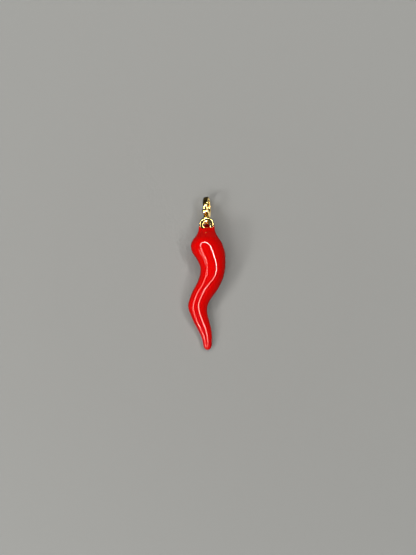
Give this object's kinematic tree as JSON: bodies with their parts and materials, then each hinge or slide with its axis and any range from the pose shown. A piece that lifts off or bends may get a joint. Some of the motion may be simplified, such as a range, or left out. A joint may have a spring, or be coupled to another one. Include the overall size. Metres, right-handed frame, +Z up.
{
  "type": "chili pepper pendant",
  "caption": "Red enamelled pepper-shaped charm with a gold ring in its collar and a small sprung gold lobster clasp that hangs in the ring.",
  "frame": {"origin": "middle of the pendant's footprint, on the surface that it lies on", "axes": "+Y along the pendant from the pepper's tip to the clasp, +X to the right of the pepper seen from above, +Z up from the surface"},
  "size_m": [0.0099, 0.041, 0.0079],
  "materials": {
    "red_enamel": "glossy poured enamel over metal",
    "gold": "polished gold plate"
  },
  "bodies": {
    "pendant": {"pepper_body": "red_enamel", "hanging_ring": "gold", "clasp_body": "gold", "rivet_pin": "gold"},
    "lever": {"clasp_lever": "gold"}
  },
  "joints": [
    {"name": "lever_hinge", "type": "hinge", "parent": "pendant", "child": "lever", "pos_m": [-0.00004, 0.01605, 0.00287], "axis": [0.9703, 0.0707, 0.2314], "range_deg": [0, 24], "stiffness_Nm_per_rad": 0.004}
  ]
}
